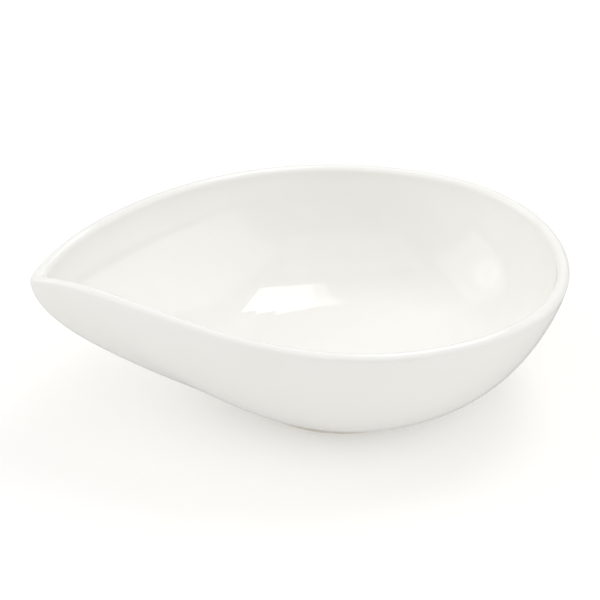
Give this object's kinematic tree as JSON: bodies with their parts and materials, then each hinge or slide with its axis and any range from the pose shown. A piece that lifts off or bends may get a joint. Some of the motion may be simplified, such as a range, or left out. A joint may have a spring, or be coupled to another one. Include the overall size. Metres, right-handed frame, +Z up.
{
  "type": "evaporating dish",
  "caption": "Small white glazed porcelain dish, teardrop in plan, with a raised pouring lip at its point, a round bowl and a shallow unglazed foot ring.",
  "frame": {"origin": "middle of the dish's overall length and width, on the plane that its foot stands on", "axes": "+X along the length towards the round end, away from the pouring lip; +Z up; +Y across"},
  "size_m": [0.12, 0.088, 0.0381],
  "materials": {
    "bisque_porcelain": "matte",
    "clear_glaze": "gloss"
  },
  "bodies": {
    "root": {"porcelain_body": "bisque_porcelain", "glaze_coat": "clear_glaze", "base_glaze": "clear_glaze"}
  },
  "joints": []
}
